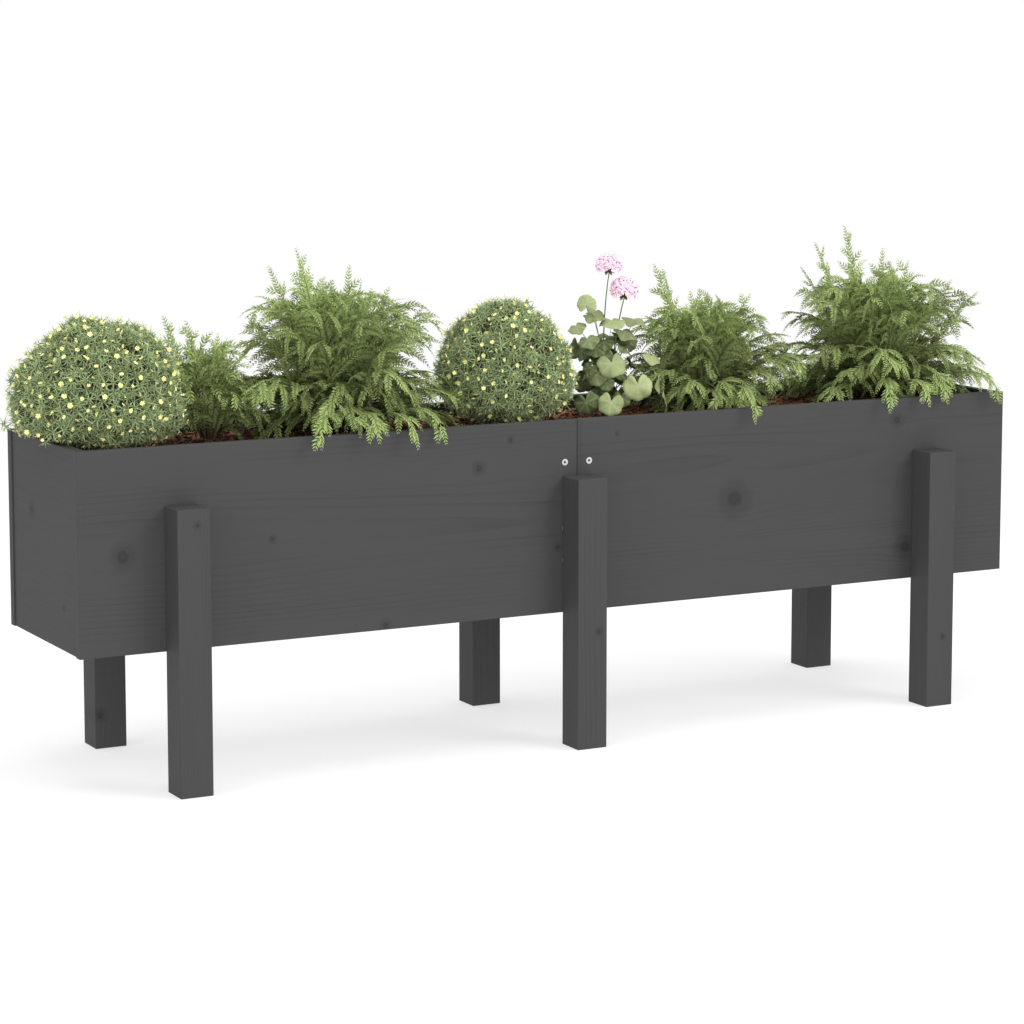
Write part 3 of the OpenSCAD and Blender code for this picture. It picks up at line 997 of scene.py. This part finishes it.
def leafBlade(points, faces, marks, joint, width, facing, spin, light):
    # a kidney shaped blade with shallow lobes, notched where the stalk joins it
    normal = Vector(facing).normalized()
    tip = -up - normal * normal.dot(-up)
    tip = Matrix.Rotation(math.radians(spin), 3, normal) @ tip.normalized()
    cross = normal.cross(tip)
    around, rings = 56, 5
    first = len(points)
    phase = first * 0.7
    for face in (1, -1):
        for ring in range(rings + 1):
            reach = ring / rings
            for i in range(around if ring else 1):
                angle = 2 * math.pi * i / around
                fromNotch = (angle - math.pi) / 0.30
                lobe = math.cos(geraniumHabit["lobes"] * angle)
                outline = 0.93 + 0.07 * abs(math.cos(geraniumHabit["lobes"] * angle / 2))
                outline += 0.02 * math.cos(21 * angle) + 0.04 * math.sin(2 * angle + phase)
                outline *= 1 - 0.70 * math.exp(-fromNotch * fromNotch)
                radius = outline * reach * width / 2
                wave = math.sin(3 * angle + phase) + 0.5 * math.sin(5 * angle + phase * 2)
                lift = reach ** 2 * (geraniumHabit["ruffle"] * wave - geraniumHabit["cup"]) * width / 2
                lift += face * geraniumHabit["thickness"] / 2 * (1.0 if ring < rings else 0.3)
                away = tip * math.cos(angle) * radius + cross * math.sin(angle) * radius
                points.append(tuple(Vector(joint) + away + normal * lift))
                marks["along"].append(reach)
                marks["vein"].append(max(0.0, lobe) ** 3 * (1 - 0.3 * reach))
                marks["shade"].append(light)
    sheet = 1 + rings * around
    for side in (0, 1):
        start = first + side * sheet
        for ring in range(rings):
            for i in range(around):
                after = (i + 1) % around
                inner = start + 1 + (ring - 1) * around
                outer = start + 1 + ring * around
                if ring == 0:
                    corners = (start, outer + i, outer + after)
                else:
                    corners = (inner + i, outer + i, outer + after, inner + after)
                faces.append(corners if side == 0 else corners[::-1])
    top = first + 1 + (rings - 1) * around
    for i in range(around):
        after = (i + 1) % around
        faces.append((top + i, top + sheet + i, top + sheet + after, top + after))


def makeGeraniumLeaves(middle):
    points, faces = [], []
    marks = {"along": [], "vein": [], "shade": []}
    for joint, width, facing, spin, light in allLeaves():
        place = (middle.x + joint[0], middle.y + joint[1], joint[2])
        leafBlade(points, faces, marks, place, width, facing, spin, light)
    mesh = bpy.data.meshes.new("geranium_leaves")
    mesh.from_pydata(points, [], faces)
    for label, values in marks.items():
        mark(mesh, label, values)
    mesh.shade_smooth()
    piece = bpy.data.objects.new("geranium_leaves", mesh)
    scene.collection.objects.link(piece)
    return piece


def geraniumLeaf():
    graph, place = newMaterial("geraniumLeaf", 0.65, 0.25)
    along = graph.attribute("along")
    zone = graph.ramp(along, [(0.0, 0.35), (0.42, 0.2), (0.56, 0.75), (0.72, 0.1), (1.0, 0.0)])
    cloud = graph.noise(place, 90.0, 3.0, 2.0)
    # painted light and shade: each leaf's lightness makes it a lit or a shaded green
    light = graph.attribute("shade") + (cloud - 0.5) * 0.35
    tint = graph.mixColour(light, colour(68, 82, 46), colour(148, 158, 112))
    tint = graph.mixColour(zone * 0.25, tint, colour(104, 118, 76))
    tint = graph.mixColour(graph.attribute("vein") * 0.3, tint, colour(170, 178, 134))
    return finishMaterial(graph, tint, None, cloud - graph.attribute("vein") * 0.5, (0.4, 0.0006))


def stalkPaths(middle):
    # main stems to the flower heads, and a stalk from them to each leaf
    spines = Spines()

    def path(start, control, end, steps, girth):
        route = bend(start, control, end, steps)
        girths = [girth * (1 - 0.35 * i / steps) for i in range(steps + 1)]
        spines.addBare(route, girths, 0.5)

    for (x, y, z), size in umbels:
        start = Vector((middle.x + x * 0.2, middle.y + y, mulchZ))
        end = Vector((middle.x + x, middle.y + y, z - 0.014))
        path(start, start.lerp(end, 0.55) + Vector((-0.012, 0.004, 0)), end, 16, geraniumHabit["stemGirth"])
    for i, (joint, width, facing, spin, light) in enumerate(allLeaves()):
        end = Vector((middle.x + joint[0], middle.y + joint[1], joint[2]))
        end = end - Vector(facing).normalized() * 0.001
        start = Vector((middle.x + joint[0] * 0.15, middle.y + joint[1] * 0.1, mulchZ + 0.004 * (i % 5)))
        start.z = max(start.z, joint[2] - 0.09 - 0.01 * (i % 3))
        control = start.lerp(end, 0.35) + up * 0.035
        path(start, control, end, 12, geraniumHabit["stalkGirth"])
    trunk = Vector((middle.x, middle.y, mulchZ))
    path(trunk, trunk + Vector((-0.004, 0.002, 0.05)), trunk + Vector((0.002, 0, 0.11)), 8, 0.0035)
    return spines.mesh("geraniumStalks")


def floretPoints(middle):
    # golden-angle places over the dome of each flower head
    places, facings = [], []
    for (x, y, z), size in umbels:
        for i in range(geraniumHabit["florets"]):
            height = 1 - 1.35 * (i + 0.5) / geraniumHabit["florets"]
            flat = (1 - height * height) ** 0.5
            angle = i * goldenTurn
            way = Vector((math.cos(angle) * flat, math.sin(angle) * flat, height))
            spread = Vector((way.x, way.y, 0)) * geraniumHabit["umbelWidth"]
            spread += up * height * geraniumHabit["umbelHeight"]
            places.append(Vector((middle.x + x, middle.y + y, z)) + spread * size)
            facings.append(way + up * 0.15)
    return places, facings


def floretMesh(middle):
    places, facings = floretPoints(middle)
    mesh = bpy.data.meshes.new("floretPoints")
    mesh.from_pydata([tuple(place) for place in places], [], [])
    mark(mesh, "facing", facings)
    return mesh


def pedicelPaths(middle):
    # short red stalks under the florets, and the buds that hang below them
    spines = Spines()
    places, facings = floretPoints(middle)
    for i, (place, facing) in enumerate(zip(places, facings)):
        x, y, z = umbels[i // geraniumHabit["florets"]][0]
        foot = Vector((middle.x + x, middle.y + y, z - 0.014))
        route = bend(foot, foot.lerp(place, 0.5) + up * 0.002, place - facing * 0.002, 4)
        spines.addBare(route, [0.00045] * len(route), 0.5)
    for (x, y, z), size in umbels:
        foot = Vector((middle.x + x, middle.y + y, z - 0.013))
        for i in range(9):
            angle = 2 * math.pi * i / 9
            out = Vector((math.cos(angle), math.sin(angle), 0)) * (0.005 + 0.002 * (i % 3))
            tip = foot + out - up * (0.001 + 0.003 * (i % 2))
            route = bend(foot, foot + out * 0.6 + up * 0.003, tip, 5)
            girths = [0.0005, 0.0005, 0.0006, 0.0014, 0.0015, 0.0005]
            spines.addBare(route, girths, 0.5)
    return spines.mesh("geraniumPedicels")


def buildFlorets(graph, given):
    petals = graph.paint(petalFlower(graph, 5, 6, 0.14, 0.46, 0.07, 0.22), given.out("Petal"))
    eye = graph.node("GeometryNodeMeshCone", inputs={"Vertices": 5, "Radius Bottom": 0.16, "Depth": 0.45})
    eye = graph.paint(eye, given.out("Eye"))
    flower = graph.join(petals, eye)
    sideways = graph.combine(graph.random(-1.0, 1.0, 3), 1.0, 0.3)
    turned = graph.aim(graph.named("facing", "FLOAT_VECTOR"), sideways)
    size = given.out("Floret Size") * graph.random(0.85, 1.15, 4)
    return graph.realize(graph.place(given, flower, turned, size))


floretSizes = {
    "Floret Size": 0.0084,      # from a floret's middle to the ends of its petals
    "Petal": softPetal("pinkPetal", colour(230, 196, 214), colour(241, 214, 228), 260.0),
    "Eye": softPetal("pinkEye", colour(214, 170, 192), colour(228, 186, 206), 500.0),
}


def softStalk(name, first, second):
    graph, place = newMaterial(name, 0.6, 0.3)
    streak = graph.noise(graph.vector("MULTIPLY", place, (400.0, 400.0, 60.0)), 1.0, 2.0, 8.0)
    return finishMaterial(graph, graph.mixColour(streak, first, second))


def makeGeranium():
    low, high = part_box("geranium")
    middle = Vector(((low.x + high.x) / 2, 0, 0))
    leaves = makeGeraniumLeaves(middle)
    leaves.data.materials.append(geraniumLeaf())
    stalks = {"Sides": 6, "Bark": softStalk("greenStalk", colour(66, 90, 40), colour(98, 118, 62))}
    pedicels = {"Sides": 5, "Bark": softStalk("budStalk", colour(84, 74, 44), colour(122, 96, 66))}
    floretTree = makeTree("geraniumFlorets", floretSizes, buildFlorets)
    declare(leaves, "geranium_leaves", "geranium")
    pieces = [
        growPiece("geranium_stalks", stemTree, stalkPaths(middle), stalks),
        growPiece("geranium_pedicels", stemTree, pedicelPaths(middle), pedicels),
        growPiece("geranium_florets", floretTree, floretMesh(middle), floretSizes),
    ]
    for piece in pieces:
        declare(piece, "geranium_leaves")


makeGeranium()
print("geranium grown")


mulchSizes = {
    "Chip Spacing": 0.0052,
    "Chip Length": 0.0085,      # half of its length
    "Seed": 4,
}


def mulchBed():
    # a rough closed bed, with the surface that carries the chips on top
    low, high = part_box("bark_mulch")
    shape = bmesh.new()
    bmesh.ops.create_grid(shape, x_segments=150, y_segments=28, size=0.5)
    length, width = high.x - low.x, high.y - low.y
    for vertex in shape.verts:
        x, y = vertex.co.x * length, vertex.co.y * width
        rough = noise.noise(Vector((x * 38, y * 38, 2))) * 0.0025
        rough += noise.noise(Vector((x * 9, y * 9, 7))) * 0.002
        vertex.co = Vector((x + (low.x + high.x) / 2, y + (low.y + high.y) / 2, high.z - 0.007 + rough))
    rim = [edge for edge in shape.edges if edge.is_boundary]
    wall = bmesh.ops.extrude_edge_only(shape, edges=rim)["geom"]
    for item in wall:
        if isinstance(item, bmesh.types.BMVert):
            item.co.z = low.z
    bmesh.ops.contextual_create(shape, geom=[e for e in shape.edges if e.is_boundary])
    bmesh.ops.recalc_face_normals(shape, faces=shape.faces)
    return meshFrom(shape, "mulchBed")


def buildMulch(graph, given):
    position = graph.position()
    x, y, z = graph.split(position)
    chip = graph.node("GeometryNodeMeshIcoSphere", inputs={"Radius": 1.0, "Subdivisions": 1})
    rough = graph.noise(position, 1.3, 0.0, 3.0) * 1.1 + 0.45
    chip = graph.move(chip, graph.combine(x * rough, y * rough * 0.5, z * rough * 0.26))
    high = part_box("bark_mulch")[1]
    inside = graph.math("LESS_THAN", graph.math("ABSOLUTE", x), high.x - 0.012)
    inside = inside * graph.math("LESS_THAN", graph.math("ABSOLUTE", y), high.y - 0.010)
    inside = inside * graph.math("GREATER_THAN", graph.split(graph.node("GeometryNodeInputNormal"))[2], 0.5)
    settings = {"distribute_method": "POISSON"}
    inputs = {"Mesh": given, "Distance Min": given.out("Chip Spacing"), "Density Max": 60000.0}
    inputs.update({"Seed": given.out("Seed"), "Selection": inside})
    points = graph.node("GeometryNodeDistributePointsOnFaces", settings, inputs)
    lift = graph.combine(0.0, 0.0, graph.random(-0.001, 0.0045, 2))
    points = graph.shift(points, lift)
    points = graph.store(points, "shade", graph.random(0.0, 1.0, 3))
    size = graph.combine(graph.random(0.6, 1.4, 8), graph.random(0.6, 1.2, 9), graph.random(0.7, 1.4, 10))
    size = graph.stretch(size, given.out("Chip Length"))
    chips = graph.realize(graph.place(points, chip, graph.randomTurn(0.5), size))
    chips = graph.paint(chips, given.out("Chip"))
    bed = graph.paint(graph.realize(given), given.out("Bed"))
    return graph.join(bed, chips)


chipColours = {
    "dark": colour(56, 34, 24),
    "middle": colour(104, 64, 44),
    "light": colour(158, 112, 82),
}


def barkChip(name, shift):
    graph, place = newMaterial(name, 0.85, 0.25)
    fibre = graph.noise(place, 260.0, 3.0, 2.0)
    light = graph.attribute("shade") + (fibre - 0.5) * 0.5 + shift
    tint = graph.mixColour(light * 1.6, chipColours["dark"], chipColours["middle"])
    tint = graph.mixColour(light * 2.0 - 1.1, tint, chipColours["light"])
    return finishMaterial(graph, tint, None, fibre, (0.5, 0.0008))


mulchSizes["Chip"] = barkChip("barkChip", 0.0)
# the bed under the chips, drawn a little darker than the chips
mulchSizes["Bed"] = barkChip("darkerBarkBed", -0.1)
mulch = growPiece("bark_mulch_chips", makeTree("barkMulch", mulchSizes, buildMulch), mulchBed(), mulchSizes)
declare(mulch, "bark_chips", "bark_mulch")
print("mulch laid")


cameraPlace = {
    "place": (-2.2112, -4.1206, 1.0637),    # metres
    "turn": 27.864,                         # degrees to the right of straight at the front
    "dip": 6.884,                           # degrees below level
    "lens": 106.03,
    "shift": -0.1,
}
studioGlow = 1.0
lamps = {       # place, aimed at, size in metres, power in watts
    "keyLamp": ((2.6, -3.4, 3.2), (0.1, 0.0, 0.3), 2.6, 120),
    "topLamp": ((-0.6, -0.4, 4.2), (0.0, 0.0, 0.4), 3.0, 60),
    "leftFill": ((-4.2, -1.4, 0.9), (0.0, 0.0, 0.25), 2.2, 45),
    "lowFill": ((-1.2, -4.6, 0.45), (0.0, 0.1, 0.10), 1.6, 85),
}


def makeCamera():
    data = bpy.data.cameras.new("camera")
    data.lens = cameraPlace["lens"]
    data.sensor_width = 36
    data.shift_y = cameraPlace["shift"]
    camera = bpy.data.objects.new("camera", data)
    camera.location = cameraPlace["place"]
    camera.rotation_euler = (math.radians(90 - cameraPlace["dip"]), 0, -math.radians(cameraPlace["turn"]))
    scene.collection.objects.link(camera)
    scene.camera = camera


def makeLights():
    for name, (place, target, size, power) in lamps.items():
        data = bpy.data.lights.new(name, "AREA")
        data.shape = "DISK"
        data.size = size
        data.energy = power
        lamp = bpy.data.objects.new(name, data)
        lamp.location = place
        lamp.rotation_euler = (Vector(target) - Vector(place)).to_track_quat("-Z", "Y").to_euler()
        scene.collection.objects.link(lamp)
    world = bpy.data.worlds.new("studio")
    world.use_nodes = True
    world.node_tree.nodes["Background"].inputs["Color"].default_value = (1.0, 1.0, 1.0, 1)
    world.node_tree.nodes["Background"].inputs["Strength"].default_value = studioGlow
    scene.world = world
    scene.view_settings.view_transform = "Standard"


def makeFloor():
    shape = bmesh.new()
    bmesh.ops.create_circle(shape, cap_ends=True, segments=96, radius=60)
    mesh = meshFrom(shape, "studioFloor")
    # the pale floor glows in part everywhere, which lightens the shadows on it and lights the planter from
    # below, and turns into an even glow far out, so that no horizon shows
    graph, place = newMaterial("paleFloor", 0.9, 0.1)
    tint = graph.mixColour(graph.noise(place, 3.0), colour(244, 244, 244), colour(248, 248, 248))
    material = finishMaterial(graph, tint)
    glow = graph.node("ShaderNodeEmission", inputs={"Color": (1, 1, 1, 1), "Strength": studioGlow})
    far = graph.step(graph.vector("LENGTH", place, output=1), 1.5, 5.0) * 0.4 + 0.6
    plain = Signal(graph, graph.surface.outputs[0])
    blend = graph.node("ShaderNodeMixShader", inputs={0: far, 1: plain, 2: glow})
    graph.feed(material.node_tree.nodes["Material Output"].inputs["Surface"], blend)
    mesh.materials.append(material)
    floor = bpy.data.objects.new("studioFloor", mesh)
    scene.collection.objects.link(floor)


makeCamera()
makeLights()
makeFloor()
print("camera, lights and floor ready")
